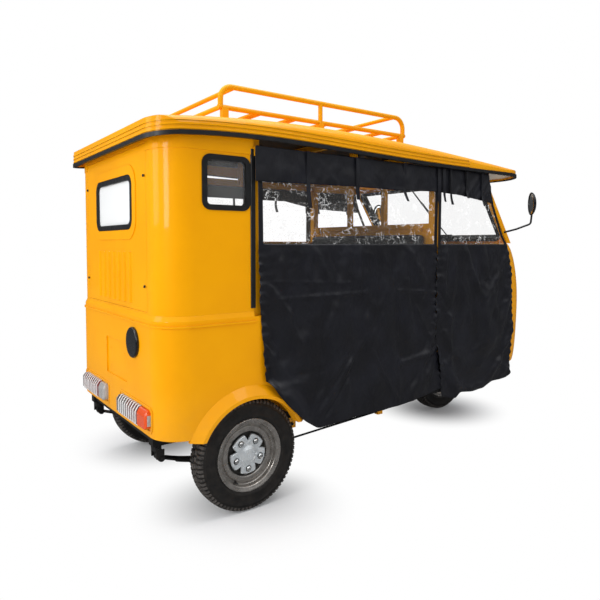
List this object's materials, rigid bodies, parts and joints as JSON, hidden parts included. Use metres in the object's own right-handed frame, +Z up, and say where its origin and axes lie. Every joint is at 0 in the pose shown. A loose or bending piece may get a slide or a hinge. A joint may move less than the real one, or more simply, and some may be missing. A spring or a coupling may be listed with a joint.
{
  "type": "auto rickshaw",
  "caption": "Three-wheeled passenger auto rickshaw with a yellow cabin, roof rack, black side curtains with clear windows, turning steering fork and free-rolling wheels.",
  "frame": {"origin": "on the ground under the middle of the vehicle's length and width", "axes": "+X forward, +Y to the driver's left, +Z up"},
  "size_m": [2.771, 1.508, 1.9565],
  "materials": {
    "body_yellow": "gloss",
    "frame_yellow": "satin",
    "floor_grey": "matt",
    "cloth_black": "woven nylon",
    "clear_film": "crinkled clear film",
    "seat_black": "quilted",
    "rubber_black": "matt",
    "window_glass": "clear",
    "tyre_black": "matt",
    "rim_steel": "dusty satin",
    "hub_silver": "satin",
    "black_steel": "satin",
    "motor_grey": "cast",
    "battery_case": "moulded",
    "lamp_chrome": "ribbed",
    "mirror_shell": "gloss",
    "dash_plastic": "grained"
  },
  "bodies": {
    "body": {"battery_pack": "battery_case", "brake_rod": "black_steel", "cab_frame": "frame_yellow", "chassis_frame": "frame_yellow", "curtain_films": "clear_film", "dashboard": "dash_plastic", "drive_motor": "motor_grey", "driver_seat_back": "seat_black", "driver_seat_cushion": "seat_black", "floor_pan": "floor_grey", "front_lamps": "lamp_chrome", "front_seat_back": "seat_black", "front_seat_cushion": "seat_black", "front_wheel_arch": "floor_grey", "leaf_springs": "black_steel", "mirror_arms": "black_steel", "mirror_heads": "mirror_shell", "nose_panel": "body_yellow", "partition_frame": "frame_yellow", "port_cap": "rubber_black", "rear_axle": "black_steel", "rear_cabin": "body_yellow", "rear_panel": "body_yellow", "rear_seat_back": "seat_black", "rear_seat_cushion": "seat_black", "rear_tub": "body_yellow", "roof_bows": "frame_yellow", "roof_edge_trim": "rubber_black", "roof_rack": "frame_yellow", "roof_shell": "body_yellow", "seat_boxes": "floor_grey", "side_curtain_left": "cloth_black", "side_curtain_right": "cloth_black", "tail_lamps": "lamp_chrome", "valances": "cloth_black", "window_gaskets": "rubber_black", "window_glass": "window_glass", "windscreen_frame": "frame_yellow", "windscreen_gasket": "rubber_black", "windscreen_glass": "window_glass", "wiper": "black_steel"},
    "steering": {"fork": "black_steel", "front_mudguard": "black_steel", "handlebar": "black_steel"},
    "front_wheel": {"front_tyre": "tyre_black", "front_rim": "rim_steel"},
    "rear_wheel_right": {"rear_tyre_right": "tyre_black", "rear_rim_right": "rim_steel", "hub_cover_right": "hub_silver"},
    "rear_wheel_left": {"rear_tyre_left": "tyre_black", "rear_rim_left": "rim_steel", "hub_cover_left": "hub_silver"}
  },
  "joints": [
    {"name": "steering_turn", "type": "hinge", "parent": "body", "child": "steering", "pos_m": [0.91099, 0, 0.73353], "axis": [-0.309, 0, 0.9511], "range_deg": [-35, 35]},
    {"name": "front_wheel_spin", "type": "hinge", "parent": "steering", "child": "front_wheel", "pos_m": [1.0655, 0, 0.258], "axis": [0, 1, 0], "continuous": true},
    {"name": "rear_wheel_right_spin", "type": "hinge", "parent": "body", "child": "rear_wheel_right", "pos_m": [-0.9245, -0.55, 0.258], "axis": [0, 1, 0], "continuous": true},
    {"name": "rear_wheel_left_spin", "type": "hinge", "parent": "body", "child": "rear_wheel_left", "pos_m": [-0.9245, 0.55, 0.258], "axis": [0, 1, 0], "continuous": true}
  ]
}
